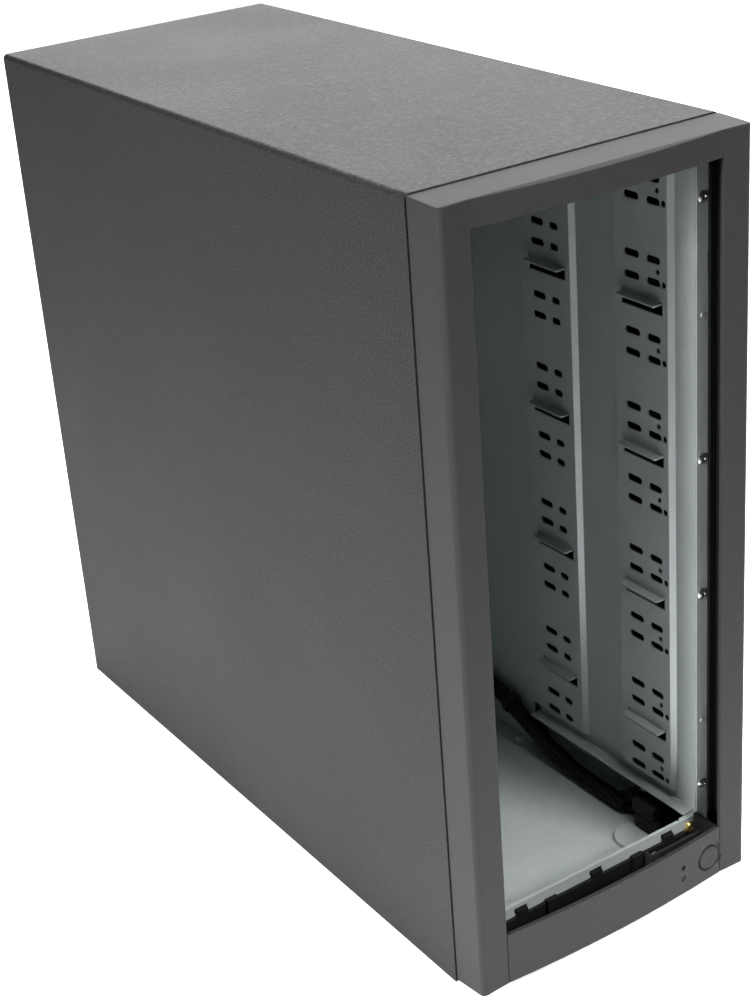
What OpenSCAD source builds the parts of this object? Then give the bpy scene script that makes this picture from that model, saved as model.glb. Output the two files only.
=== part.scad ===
// Tower enclosure for a disc duplicator, with nine open 5.25 inch drive bays.
// X is the width, +Y runs from the front to the back, +Z is up.
// The origin is on the ground, in the middle of the case.
// Inside the modules, Y is the depth behind the corners of the front bezel.

/* [Case] */
// Number of half-height drive bays, one above the other
bays = 9; // [8:1:10]
// Width over the outer cover
cover_w = 184.4; // [184.4:0.2:188]
// Depth from the bezel's corners to the rear edge of the cover
case_d = 446.5; // [440:0.5:470]
// Clear height under the cover
ground_gap = 3; // [2:0.5:5]
// Thickness of the steel sheet
sheet = 1; // [0.8:0.1:1]

/* [Front] */
// How far the middle of the front bows out past the stiles
front_bow = 3.5; // [2:0.25:4.5]
// How far each stile falls back towards the opening
stile_fall = 0.93; // [0.5:0.01:1.2]
// Radius of the bezel's upright corners
corner_r = 3; // [2.5:0.5:6]
// Diameter of the power button
button_d = 14; // [12:0.5:14]
// Travel of the power button
button_travel = 1.5; // [1:0.25:1.5]

/* [Drive cage] */
// Height of one drive bay
bay_pitch = 42.4; // [42.4:0.1:43]
// How far the drive pads stand in from the cage side
pad_depth = 3; // [2:0.25:3]
// Reach of the drive rests into the bay
rest_reach = 5.5; // [4:0.25:6]
// Width of the drive screw slots
slot_w = 4; // [3.4:0.1:4.4]

/* [Cooling] */
// Number of blades on each fan rotor
fan_blades = 7; // [5:1:9]
// Number of wire rings on each fan guard
guard_rings = 5; // [4:1:5]

/* [Hidden] */
$fn = 64;
eps = 0.05;

// Heights above the ground
floor_z = ground_gap + 5;
bay_z = floor_z + 28.6;
bay_top = bay_z + bays * bay_pitch;
case_top = bay_top + 14;
open_low = bay_z + 1.9;
open_high = bay_top - 0.9;

// Depths behind the bezel's corners
bow_out = front_bow - stile_fall;
thumb_head = 7;
corner_y = bow_out - (bow_out + case_d + thumb_head) / 2;
bezel_back = 23.4;
seam = 0.5;
strip_d = 21.5;
frame_d = strip_d + sheet;
flange_d = frame_d + sheet;
rear_in = case_d - 2 * sheet;
rear_out = case_d - sheet;

// Half widths
bezel_half = cover_w / 2 - 0.6;
open_half = 74.2;
stile_w = bezel_half - open_half;
wall = 2.5;
frame_half = bezel_half - wall - 0.5;
pan_half = frame_half + sheet;
cage_in = 76.5;
cage_out = cage_in + sheet;
pad_in = cage_in - pad_depth;
drive_rest_x = pad_in - rest_reach;

// Drive pads of the cage side: front and rear edge on the pad face, and the run of the sloped edge
front_pad = [40.1, 81];
rear_pad = [117.3, 160];
pad_run = 2.2;
ledge_end = 161.7;
leg_front = 168;
cage_back = 252;
foot_back = 240;

// Slots of a drive: depth of the centre and length
pad_slots = [[67.1, 11.6], [50.7, 10.2], [144.4, 11.2], [130.2, 7.4]];
slot_rows = [10, 21.84];

// Front face furniture
button_x = 65.3;
button_z = 22;
led_x = 45.3;
led_zs = [25.2, 18.4];
clip_xs = [-49.5, 2, 53.5];
clip_z = floor_z + 20;
notch_top = clip_z + 4.6;
strip_top = bay_z - 1.4;
frame_rivet_x = 80.8;
rivet_pitch = 79;
frame_rivet_zs = [53, 94.5 + rivet_pitch, 94.5 + 2 * rivet_pitch, bay_top - 26];
frame_dimple_zs = [94.5, 94.5 + 3 * rivet_pitch];
frame_screw = [70.1, 28.6];
tie_rivet_ds = [50, 140, 220];
tie_rivet_x = 82;
foot_screw_ds = [177.4, 232];
foot_screw_x = 71.6;
foot_ds = [54.2, 405];
foot_x = 60.4;

// Rear panel furniture
psu_w = 150;
psu_h = 86;
psu_d = 140;
psu_x = -psu_w / 2;
psu_z = bay_top - psu_h - 0.2;
psu_holes = [[6, 16], [6, 80], [120, 80], [144, 6]];
psu_fan = [psu_x + 55, psu_z + 43];
inlet = [psu_x + 118, psu_z + 30];
rocker = [psu_x + 118, psu_z + 60];
rocker_pivot_d = case_d - 1.5;
case_fan = [0, 270];
spare_vent = [0, 160];
fan_size = 80;
fan_hole = 35.75;
fan_depth = 25;
fan_bore = 38.6;
thumb_x = 84;
thumb_zs = [60, bay_top - 43];
rear_rivet_xs = [-72, -24, 24, 72];

// Routes of the held leads, each a list of x, depth and height
loom_r = 5;
loom_route = [[55, 307, 350], [55, 296, 350], [56, 288, 344], [58, 284, 330], [61, 282, 290], [64, 280, 230],
    [67, 277, 170], [69, 272, 110], [70, 264, 72], [70.2, 250, 54], [70.2, 232, 46], [70.2, 212, 40.5],
    [70.2, 192, 36], [70.2, 178, 31], [70.5, 166, 26.4], [70.8, 153, 21.4], [71, 139, 17], [71.3, 124, 14],
    [71.4, 110, 13.2], [71.4, 96, 13.1], [71.4, 85, 13.1], [71.6, 76, 13.4]];
tail_r = 2.2;
tail_routes = [
    [[71.4, 79, 11.6], [72, 73, 12.4], [74, 68.6, 14], [75.5, 65, 14.5], [75.5, 61, 14.5]],
    [[71.8, 79, 15.6], [72.4, 75, 18.6], [74.4, 71, 22.2], [76, 67.6, 23.4], [76, 64, 23.4]]];
lead_r = 1.6;
lead_hole = [60, 18.4];
lead_route = [[63, 17.9, 19.8], [61, 19.4, 18.8], [60, 22, 18.4], [61, 26, 16.4], [66, 30.5, 15],
    [74, 34, 18], [80, 37.5, 25], [83, 42.5, 30.5], [83.5, 54, 31.8], [82, 67, 30], [78, 76, 22.4],
    [73, 86, 15.4]];
lamp_lead_r = 0.8;
lamp_routes = [
    [[45.3, 11.3, 25.2], [46.3, 15, 24.6], [50, 17, 23], [55, 18, 21], [59.8, 19.9, 19.4]],
    [[45.3, 11.3, 18.4], [46.3, 15, 17.8], [50, 17, 16.4], [57.2, 17.4, 16.6], [59.2, 20.8, 17.2]]];
loom_ties_at = [5.5, 9.5, 12.6];

// Sets a module's depths in the frame of the whole case
module placed() {
    translate([0, corner_y, 0]) children();
}

// A width and height outline, made solid from one depth to another
module along_depth(d0, d1) {
    translate([0, d1, 0]) rotate([90, 0, 0]) linear_extrude(d1 - d0) children();
}

// A depth and height outline, made solid from one x to another
module across(x0, x1) {
    translate([x0, 0, 0]) rotate([90, 0, 90]) linear_extrude(x1 - x0) children();
}

// A box by its two far corners
module span(low, high) {
    translate(low) cube(high - low);
}

// A round bar or hole that runs along the depth
module depth_bar(x, z, r, d0, d1) {
    translate([x, d0, z]) rotate([-90, 0, 0]) cylinder(r = r, h = d1 - d0);
}

// A round bar or hole that runs across the width
module width_bar(d, z, r, x0, x1) {
    translate([x0, d, z]) rotate([0, 90, 0]) cylinder(r = r, h = x1 - x0);
}

// Both sides of the case
module both_sides() {
    children();
    mirror([1, 0, 0]) children();
}

// An outline with a round at each end, centred, with its length along the first axis
module obround(length, width) {
    square([length - width, width], center = true);
    for (s = [-1, 1]) translate([s * (length - width) / 2, 0]) circle(d = width, $fn = 32);
}

// A rectangle with round corners, by its two far corners
module rounded(low, high, r) {
    translate([low[0] + r, low[1]]) square([high[0] - low[0] - 2 * r, high[1] - low[1]]);
    translate([low[0], low[1] + r]) square([high[0] - low[0], high[1] - low[1] - 2 * r]);
    for (x = [low[0] + r, high[0] - r], y = [low[1] + r, high[1] - r]) translate([x, y]) circle(r = r);
}

// A tube that follows a route through space
function unit(v) = v / norm(v);
function smooth_at(p, t) =
    let (n = len(p) - 1, i = min(n - 1, floor(t)), u = t - i,
         a = p[max(0, i - 1)], b = p[i], c = p[i + 1], e = p[min(n, i + 2)])
    0.5 * (2 * b + (c - a) * u + (2 * a - 5 * b + 4 * c - e) * u * u + (3 * b - a - 3 * c + e) * u * u * u);
module tube(route, r, sides = 8, steps = 2) {
    spans = len(route) - 1;
    path = [for (i = [0:spans * steps]) smooth_at(route, i / steps)];
    last = len(path) - 1;
    points = [for (i = [0:last])
        let (ahead = unit(path[min(last, i + 1)] - path[max(0, i - 1)]),
             side = unit(cross(ahead, abs(ahead[2]) > 0.9 ? [1, 0, 0] : [0, 0, 1])),
             up = cross(side, ahead))
        for (k = [0:sides - 1]) path[i] + r * (cos(360 * k / sides) * side + sin(360 * k / sides) * up)];
    skin = [for (i = [0:last - 1], k = [0:sides - 1])
        let (a = i * sides + k, b = i * sides + (k + 1) % sides)
            each [[a, a + sides, b + sides], [a, b + sides, b]]];
    end = last * sides;
    caps = concat([for (k = [1:sides - 2]) [0, k, k + 1]],
                  [for (k = [1:sides - 2]) [end, end + k + 1, end + k]]);
    polyhedron(points, concat(skin, caps));
}

// Front outline of the bezel: flat stiles that fall back, and a bowed middle
function bow_depth(x) = stile_fall - front_bow * (1 - pow(x / open_half, 2));
bow_steps = 40;
bow_line = [for (i = [0:bow_steps]) let (x = open_half * (1 - 2 * i / bow_steps)) [x, bow_depth(x)]];
function corner_arc(side, inset) = [for (i = [0:8])
    let (a = side > 0 ? 90 * i / 8 : 90 - 90 * i / 8, r = corner_r - min(inset, corner_r - 0.5))
    [side * (bezel_half - inset - r + r * cos(a)), inset + r - r * sin(a)]];
module bezel_plan(inset) {
    polygon(concat([[bezel_half - inset, bezel_back + eps]], corner_arc(1, inset),
        [for (p = bow_line) p + [0, inset]], corner_arc(-1, inset),
        [[inset - bezel_half, bezel_back + eps]]));
}

// Side view of the bezel: its top falls and its underside rises towards the front
bezel_top = case_top - 0.6;
front_drop = 1;
front_rise = 3.4;
module bezel_side_view(inset) {
    polygon([[-4, floor_z + inset + 0.1], [0, floor_z + inset], [bezel_back, floor_z - front_rise + inset],
        [bezel_back, bezel_top - inset], [1, bezel_top - front_drop - inset],
        [-4, bezel_top - front_drop - inset - 1]]);
}

// The bezel's moulding: two stiles, the top rail, and a recessed bar across the bottom with three snap hooks
bar_d = strip_d - 2;
module front_bezel() {
    color([0.12, 0.12, 0.125]) placed() {
        difference() {
            intersection() {
                linear_extrude(case_top) bezel_plan(0);
                across(-bezel_half - 1, bezel_half + 1) bezel_side_view(0);
            }
            intersection() {
                linear_extrude(case_top) bezel_plan(wall);
                across(-bezel_half, bezel_half) translate([eps, 0]) bezel_side_view(wall);
            }
            span([-open_half, -10, -1], [open_half, 40, open_high]);
            span([-frame_half - 0.5, strip_d - 0.2, 0], [frame_half + 0.5, 40, floor_z + 1]);
        }
        both_sides() span([84.2, frame_d - 2, floor_z + 1], [bezel_half - wall + eps, frame_d, case_top - 4]);
        span([-bezel_half + wall, frame_d - 2, open_high + 4],
             [bezel_half - wall, frame_d, bezel_top - wall]);
        difference() {
            span([-bezel_half + wall - eps, bar_d, floor_z - 2.6],
                 [bezel_half - wall + eps, strip_d, clip_z + 0.5]);
            both_sides() depth_bar(frame_screw[0], frame_screw[1], 4.2, 18, 23);
            depth_bar(lead_hole[0], lead_hole[1], 4, 18, 23);
        }
        for (x = clip_xs) snap_hook(x);
        both_sides() for (z = [bay_z + 60, bay_top - 60]) side_hook(z);
    }
}

// A hook that passes through a notch in the steel strip and catches behind it
module snap_hook(x) {
    across(x - 3.7, x + 3.7) polygon([[bar_d, clip_z], [bar_d, clip_z + 3.6], [flange_d + 0.1, clip_z + 3.6],
        [flange_d + 0.1, notch_top + 0.6], [flange_d + 0.9, notch_top + 0.6], [flange_d + 2.8, clip_z + 2.6],
        [flange_d + 2.8, clip_z + 1.4], [strip_d, clip_z + 1.4], [strip_d, clip_z]]);
}
module side_hook(z) {
    translate([0, 0, z - 5]) linear_extrude(10) polygon([[85, frame_d - 1], [86.4, frame_d - 1],
        [86.4, flange_d + 2.6], [85.6, flange_d + 2.6], [84.6, flange_d + 1], [85, flange_d + eps]]);
}

// The lower front panel, a separate moulding between the stiles
panel_half = open_half - 0.2;
recess_r = button_d / 2 + 1.2;
guide_r = button_d / 2 + 0.3;
guide_d = 8.6;
carrier_d = 12.3;
post_xs = [38.6, 53.6];
post_zs = [27.5, 14.5];
carrier_zs = [11, 30.5];
module lower_front_panel() {
    color([0.12, 0.12, 0.125]) placed() difference() {
        union() {
            intersection() {
                difference() {
                    linear_extrude(open_low) bezel_plan(0);
                    difference() {
                        linear_extrude(open_low + 1) bezel_plan(wall);
                        both_sides() span([panel_half - wall, -5, 0], [panel_half + 1, 40, 60]);
                        across(-panel_half, panel_half) bezel_floor();
                    }
                }
                span([-panel_half, -5, 0], [panel_half, bar_d, open_low]);
                across(-bezel_half, bezel_half) bezel_side_view(0);
            }
            intersection() {
                depth_bar(button_x, button_z, guide_r + 1.6, 0.6, guide_d);
                span([0, 0, floor_z], [panel_half - eps, 20, open_low]);
            }
            for (i = [0, 1]) depth_bar(post_xs[i], post_zs[i], 2.6, 0, carrier_d);
            for (x = [-30, 30]) panel_catch(x);
        }
        depth_bar(button_x, button_z, guide_r, -5, guide_d + 3);
        translate([button_x, -0.75, button_z]) rotate([-90, 0, 0])
            cylinder(r1 = recess_r + 0.4, r2 = guide_r + 0.2, h = 2.1);
        for (z = led_zs) depth_bar(led_x, z, 1.55, -5, 5);
        for (i = [0, 1]) depth_bar(post_xs[i], post_zs[i], 1, 4, carrier_d + 1);
    }
}
module bezel_floor() {
    polygon([[-5, floor_z - 2], [bezel_back, floor_z - 6], [bezel_back, floor_z - front_rise + 2],
        [0, floor_z + 2], [-5, floor_z + 2]]);
}

// A catch that hooks over the bezel's bottom bar
module panel_catch(x) {
    across(x - 4, x + 4) polygon([[8, floor_z], [bar_d, floor_z - 1], [bar_d, clip_z + 0.6],
        [strip_d - 0.4, clip_z + 0.6], [strip_d - 0.4, clip_z + 2], [bar_d - 1.6, clip_z + 2],
        [bar_d - 1.6, floor_z + 3], [8, floor_z + 3]]);
}

// The power button, a hollow cap with a stem that reaches into the switch
module power_button() {
    cap_r = button_d / 2;
    color([0.14, 0.14, 0.145]) placed() translate([button_x, 0, button_z]) rotate([-90, 0, 0]) {
        difference() {
            union() {
                rotate_extrude() polygon([[0, 0.15], [cap_r - 1.4, -0.05], [cap_r - 0.5, 0.15], [cap_r, 0.7],
                    [cap_r, 9], [0, 9]]);
                for (s = [-1, 1]) translate([-2, s > 0 ? cap_r - 0.4 : -cap_r - 1.4, 8.9])
                    cube([4, 1.8, 1.2]);
            }
            translate([0, 0, 1.8]) difference() {
                cylinder(r = cap_r - 1.6, h = 10);
                cylinder(r = 2.6, h = 10);
            }
        }
        translate([0, 0, 1.5]) cylinder(r = 1.8, h = 12.7);
    }
}

// The push switch that the button works, with its four solder pins
switch_in = 2.5;
switch_half = 5;
module power_switch() {
    color([0.05, 0.05, 0.05]) placed() {
        difference() {
            span([button_x - switch_half, carrier_d - 1, button_z - switch_half],
                 [button_x + switch_half, bar_d - 1.7, button_z + switch_half]);
            depth_bar(button_x, button_z, 2.15, carrier_d - 2, carrier_d + 4.6);
        }
        for (x = [-switch_in, switch_in], z = [-switch_in, switch_in])
            span([button_x + x - 0.4, bar_d - 1.8, button_z + z - 0.4],
                 [button_x + x + 0.4, bar_d - 0.4, button_z + z + 0.4]);
    }
}

// The plate behind the panel that holds the switch and both lamps
module switch_carrier() {
    color([0.18, 0.18, 0.18]) placed() difference() {
        union() {
            span([34, carrier_d, carrier_zs[0]], [panel_half - wall - 0.2, carrier_d + 1.5, carrier_zs[1]]);
            span([34, carrier_d, carrier_zs[0]], [35.5, carrier_d + 5, carrier_zs[1]]);
            for (z = led_zs) depth_bar(led_x, z, 2.6, 4.5, carrier_d + 1);
        }
        translate([button_x, carrier_d, button_z]) cube(2 * switch_half + 0.1, center = true);
        for (z = led_zs) depth_bar(led_x, z, 1.55, 4, carrier_d + 4);
        for (i = [0, 1]) depth_bar(post_xs[i], post_zs[i], 1.3, carrier_d - 1, carrier_d + 4);
    }
}
module carrier_screws() {
    color([0.75, 0.76, 0.78]) placed() for (i = [0, 1]) {
        depth_bar(post_xs[i], post_zs[i], 1, 6, carrier_d + 2);
        depth_bar(post_xs[i], post_zs[i], 2.3, carrier_d + 1.5, carrier_d + 3);
    }
}

// Lamps with a domed end, held in the carrier's sleeves
module lamp(z, inset) {
    placed() translate([led_x, bow_depth(led_x) + inset + 1.5, z]) rotate([-90, 0, 0]) {
        cylinder(r = 1.5, h = 10);
        sphere(r = 1.5);
    }
}
module power_led() {
    color([0.2, 0.5, 0.25]) lamp(led_zs[0], 0.7);
}
module drive_led() {
    color([0.3, 0.3, 0.3]) lamp(led_zs[1], 0.1);
}

// The lead from the switch and the lamps into the case
module panel_leads() {
    color([0.06, 0.06, 0.06]) placed() {
        tube(lead_route, lead_r, 8, 2);
        for (route = lamp_routes) tube(route, lamp_lead_r, 8, 2);
    }
}

// Steel frame behind the bezel: two uprights, a top rail, and two tabs behind the floor's front strip
module front_frame() {
    opening = cage_in + 0.4;
    frame_low = clip_z - 8;
    frame_high = bezel_top - wall - 0.1;
    color([0.62, 0.66, 0.66]) placed() {
        difference() {
            union() {
                along_depth(frame_d, flange_d) difference() {
                    translate([-frame_half, frame_low]) square([2 * frame_half, frame_high - frame_low]);
                    translate([-opening, bay_z - 0.6]) square([2 * opening, open_high + 2.3 - bay_z]);
                    translate([-64, 0]) square([128, 100]);
                }
                both_sides() span([frame_half - sheet, frame_d, frame_low], [frame_half, 40, frame_high]);
                both_sides() span([21, frame_d, frame_high - sheet], [frame_half, 40, frame_high]);
                both_sides() for (z = frame_dimple_zs)
                    depth_bar(frame_rivet_x, z, 1.4, frame_d - 0.6, frame_d + eps);
            }
            both_sides() for (z = frame_rivet_zs) depth_bar(frame_rivet_x, z, 1.6, 20, 30);
            both_sides() depth_bar(frame_screw[0], frame_screw[1], 1.5, 20, 30);
            both_sides() for (z = [bay_z + 60, bay_top - 60]) span([84.4, 20, z - 6], [86.6, 30, z + 6]);
        }
    }
}

// Blind rivets that join the frame to the cage sides
module frame_rivets() {
    color([0.8, 0.81, 0.82]) placed() both_sides() for (z = frame_rivet_zs)
        translate([frame_rivet_x, frame_d, z]) rotate([90, 0, 0])
            blind_rivet(3.1, 1.6, 1.25, 2 * sheet + 1.2);
}

// A blind rivet with its dished head up and its open middle
module blind_rivet(head_r, shank_r, head_h, reach) {
    rotate_extrude($fn = 32) polygon([[0.85, -reach], [shank_r, -reach], [shank_r, 0], [head_r, 0],
        [head_r, 0.25], [head_r - 0.8, 0.85], [head_r - 1.6, head_h], [1.1, head_h], [0.85, head_h - 0.3]]);
}

// Yellow zinc screws through the floor's front strip
module frame_screws() {
    color([0.75, 0.62, 0.25]) placed() both_sides()
        translate([frame_screw[0], strip_d, frame_screw[1]]) rotate([90, 0, 0]) pan_screw(3.4, 1.45, 1.9, 5);
}

// A pan head screw with a cross recess, its head up
module pan_screw(head_r, shank_r, head_h, reach) {
    difference() {
        rotate_extrude($fn = 32) polygon([[0, -reach], [shank_r, -reach], [shank_r, 0], [head_r, 0],
            [head_r, 0.45 * head_h], [0.8 * head_r, 0.85 * head_h], [0.45 * head_r, head_h], [0, head_h]]);
        for (a = [45, 135]) rotate(a) translate([-0.55 * head_r, -0.14 * head_r, 0.35 * head_h])
            cube([1.1 * head_r, 0.28 * head_r, head_h]);
    }
}

// The floor: a steel pan with a front strip, side and rear upstands, and four raised seats for the feet
module base_pan() {
    color([0.64, 0.68, 0.68]) placed() difference() {
        union() {
            span([-76, strip_d, floor_z - sheet], [76, frame_d, strip_top]);
            span([-63, frame_d - eps, strip_top - 6], [63, flange_d, strip_top]);
            span([-76, strip_d, floor_z - sheet], [76, 27, floor_z]);
            span([-pan_half, 26, floor_z - sheet], [pan_half, rear_in, floor_z]);
            both_sides() span([frame_half, 26, floor_z - sheet], [pan_half, rear_in, floor_z + 19]);
            span([-frame_half + 3, rear_in - sheet, floor_z - sheet],
                 [frame_half - 3, rear_in, floor_z + 15]);
            for (x = [-foot_x, foot_x], d = foot_ds) translate([x, d, floor_z - eps])
                cylinder(r1 = 14.2, r2 = 13.2, h = 2 + eps);
        }
        for (x = [-foot_x, foot_x], d = foot_ds) translate([x, d, floor_z - 2 * sheet])
            cylinder(r = 12.6, h = 2 + sheet);
        for (x = clip_xs) span([x - 4.2, 20, clip_z - 0.5], [x + 4.2, 26, notch_top]);
        both_sides() depth_bar(frame_screw[0], frame_screw[1], 1.5, 20, 26);
        depth_bar(lead_hole[0], lead_hole[1], 4, 20, 26);
        both_sides() for (d = foot_screw_ds) translate([foot_screw_x, d, 0]) cylinder(r = 1.5, h = 20);
        for (x = rear_rivet_xs) depth_bar(x, floor_z + 8, 1.6, rear_in - 5, rear_in + 5);
    }
}

// Rubber feet, stuck into the seats under the floor
module rubber_feet() {
    color([0.05, 0.05, 0.05]) placed() for (x = [-foot_x, foot_x], d = foot_ds) translate([x, d, 0])
        rotate_extrude() polygon([[0, 0.6], [7, 0.6], [8, 0], [10.6, 0], [11.4, 0.8], [12.2, floor_z + 1],
            [0, floor_z + 1]]);
}

// One side of the drive cage, folded from one sheet. Two pads are pressed in for the drives, with slots for
// their screws, and rests are cut and bent in under every other bay. The bottom edge folds in to a ledge, and
// the rear runs down to the floor as a leg with a foot.
pad_low = bay_z + 5.9;
pad_high = bay_top - 5;
module pad_block(pad, lift) {
    intersection() {
        translate([0, 0, bay_z]) linear_extrude(bays * bay_pitch) polygon([
            [cage_in + 3, pad[0] - 2 * pad_run + lift], [cage_in + lift, pad[0] - pad_run + lift * 0.4],
            [pad_in + lift, pad[0] + lift * 0.4],
            [pad_in + lift, pad[1] - lift * 0.4], [cage_in + lift, pad[1] + pad_run - lift * 0.4],
            [cage_in + 3, pad[1] + 2 * pad_run - lift]]);
        along_depth(0, 200) polygon([[cage_in + lift, pad_low - pad_run + lift * 0.4],
            [pad_in + lift, pad_low + lift * 0.4], [pad_in + lift, pad_high - lift * 0.4],
            [cage_in + lift, pad_high + pad_run - lift * 0.4]]);
    }
}
rest_levels = [for (k = [1:2:bays - 1]) bay_z + k * bay_pitch];
rest_spans = [[44.6, 75], [122, 152]];
module cage_side() {
    difference() {
        union() {
            difference() {
                union() {
                    span([cage_in, frame_d + sheet, bay_z - sheet], [cage_out, cage_back, bay_top]);
                    span([cage_in, leg_front, floor_z], [cage_out, cage_back, bay_z]);
                    pad_block(front_pad, 0);
                    pad_block(rear_pad, 0);
                }
                pad_block(front_pad, sheet);
                pad_block(rear_pad, sheet);
                span([cage_in - 1, ledge_end, 0], [cage_out + 1, leg_front, bay_z + 3]);
            }
            span([cage_in, flange_d, bay_z + 0.4], [86, flange_d + sheet, bay_top]);
            span([cage_in, cage_back - sheet, bay_z], [86, cage_back, bay_top]);
            span([cage_in, flange_d, bay_top - sheet], [86, cage_back, bay_top]);
            span([drive_rest_x + 0.4, flange_d + 0.5, bay_z - sheet], [cage_out, ledge_end, bay_z]);
            translate([0, 0, floor_z]) linear_extrude(sheet) {
                translate([66.6, 174]) square([cage_out - 66.6, foot_back - 174]);
                translate([foot_screw_x, 174]) circle(r = 5);
                translate([foot_screw_x, leg_front]) square([cage_out - foot_screw_x, 8]);
            }
        }
        cage_windows();
        cage_slots();
        for (z = frame_rivet_zs) depth_bar(frame_rivet_x, z, 1.6, 20, 30);
        for (d = foot_screw_ds) translate([foot_screw_x, d, 0]) cylinder(r = 1.5, h = 20);
        for (d = tie_rivet_ds) translate([tie_rivet_x, d, bay_top - 5]) cylinder(r = 1.6, h = 10);
        for (z = [bay_z + 60, bay_top - 60]) span([83.6, 20, z - 6], [87, 30, z + 6]);
    }
    for (z = rest_levels, s = rest_spans) drive_rest(z, s);
}

// A rest, bent in from the window below it
module drive_rest(z, s) {
    translate([0, 0, z - sheet]) linear_extrude(sheet)
        polygon([[pad_in + sheet, s[0]], [drive_rest_x + 1, s[0]], [drive_rest_x, s[0] + 1],
            [drive_rest_x, s[1] - 2], [drive_rest_x + 1.4, s[1]], [pad_in + sheet, s[1]]]);
}
module cage_windows() {
    for (z = rest_levels, s = rest_spans) {
        span([pad_in - 1, s[0] - 0.6, z - rest_reach - 1.4], [pad_in + 2, s[1] + 0.8, z - sheet + eps]);
        for (d = [s[0] - 0.6, s[1] - 0.2]) span([pad_in - 1, d, z - 2], [pad_in + 2, d + 1, z + 1.4]);
    }
}
module cage_slots() {
    across(pad_in - 1, pad_in + 2) for (b = [0:bays - 1]) {
        for (s = pad_slots, row = slot_rows)
            translate([s[0], bay_z + b * bay_pitch + row]) obround(s[1], slot_w);
        translate([47.6, bay_z + b * bay_pitch + slot_rows[0] + 5.9]) circle(r = 1.5, $fn = 24);
        translate([43.1, bay_z + b * bay_pitch + slot_rows[0]]) circle(r = 1.8, $fn = 24);
    }
}
module cage_side_right() {
    color([0.6, 0.64, 0.64]) placed() cage_side();
}
module cage_side_left() {
    color([0.6, 0.64, 0.64]) placed() mirror([1, 0, 0]) cage_side();
}

// Screws that hold the cage's feet down
module cage_foot_screws() {
    color([0.78, 0.79, 0.8]) placed() both_sides() for (d = foot_screw_ds)
        translate([foot_screw_x, d, floor_z + sheet]) pan_screw(2.9, 1.45, 1.8, 4);
}

// The plate that ties the tops of the cage sides, with its edges turned up
tie_front = 36;
tie_back = 232;
module cage_top_tie() {
    color([0.6, 0.64, 0.64]) placed() difference() {
        union() {
            span([-86, tie_front, bay_top], [86, tie_back, bay_top + sheet]);
            for (d = [tie_front, tie_back - sheet]) span([-86, d, bay_top], [86, d + sheet, bay_top + 7]);
        }
        span([-32, tie_front - 1, bay_top + sheet], [32, tie_back + 1, bay_top + 8]);
        both_sides() for (d = tie_rivet_ds)
            translate([tie_rivet_x, d, bay_top - 5]) cylinder(r = 1.6, h = 10);
        both_sides() translate([56, (tie_front + tie_back) / 2, bay_top - 1])
            linear_extrude(4) rotate(90) obround(110, 24);
    }
}

// The channel that joins the top of the frame to the rear panel
module top_brace() {
    low = bay_top + sheet;
    high = bezel_top - wall - 0.1;
    color([0.6, 0.64, 0.64]) placed() difference() {
        along_depth(flange_d, rear_in) {
            translate([-20, high - sheet]) square([40, sheet]);
            for (x = [-20, 20 - sheet]) translate([x, low]) square([sheet, high - low]);
            for (x = [-30, 19]) translate([x, low]) square([11, sheet]);
        }
        for (x = [-25, 25], d = [50, 218]) translate([x, d, low - 1]) cylinder(r = 1.6, h = 4);
    }
}

// Rivets that hold the tie, the brace, and the floor's rear upstand
module chassis_rivets() {
    color([0.8, 0.81, 0.82]) placed() {
        both_sides() for (d = tie_rivet_ds)
            translate([tie_rivet_x, d, bay_top + sheet]) blind_rivet(2.9, 1.55, 1.1, 3);
        for (x = rear_rivet_xs)
            translate([x, rear_out, floor_z + 8]) rotate([-90, 0, 0]) blind_rivet(2.9, 1.55, 1.1, 3);
    }
}

// The rear panel, with openings for the supply and the fan, and a slotted vent for a second fan
vent_rings = [[10, 14], [18, 22], [26, 30], [34, 38]];
module rear_panel() {
    color([0.62, 0.66, 0.66]) placed() difference() {
        union() {
            along_depth(rear_in, rear_out)
                translate([-frame_half, floor_z]) square([2 * frame_half, bezel_top - wall - floor_z]);
            both_sides() span([frame_half - sheet, rear_in - 10, floor_z + 22],
                              [frame_half, rear_in, bezel_top - wall]);
            both_sides() span([21, rear_in - 10, bezel_top - wall - sheet],
                              [frame_half, rear_in, bezel_top - wall]);
        }
        along_depth(rear_in - 1, rear_out + 1) {
            translate([psu_x, psu_z]) union() {
                translate([12, 10]) square([126, 64]);
                translate([14, 3]) square([98, 80]);
                for (h = psu_holes) translate(h) circle(r = 1.9, $fn = 32);
            }
            translate(case_fan) circle(r = 38);
            for (c = [case_fan, spare_vent], x = [-fan_hole, fan_hole], z = [-fan_hole, fan_hole])
                translate([c[0] + x, c[1] + z]) circle(r = 2.2, $fn = 32);
            translate(spare_vent) difference() {
                for (ring = vent_rings) difference() {
                    circle(r = ring[1]);
                    circle(r = ring[0]);
                }
                for (a = [45, 135]) rotate(a) square([90, 5], center = true);
            }
            for (x = rear_rivet_xs) translate([x, floor_z + 8]) circle(r = 1.6, $fn = 32);
            for (x = [-thumb_x, thumb_x], z = thumb_zs) translate([x, z]) circle(r = 1.6, $fn = 32);
        }
    }
}

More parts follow.
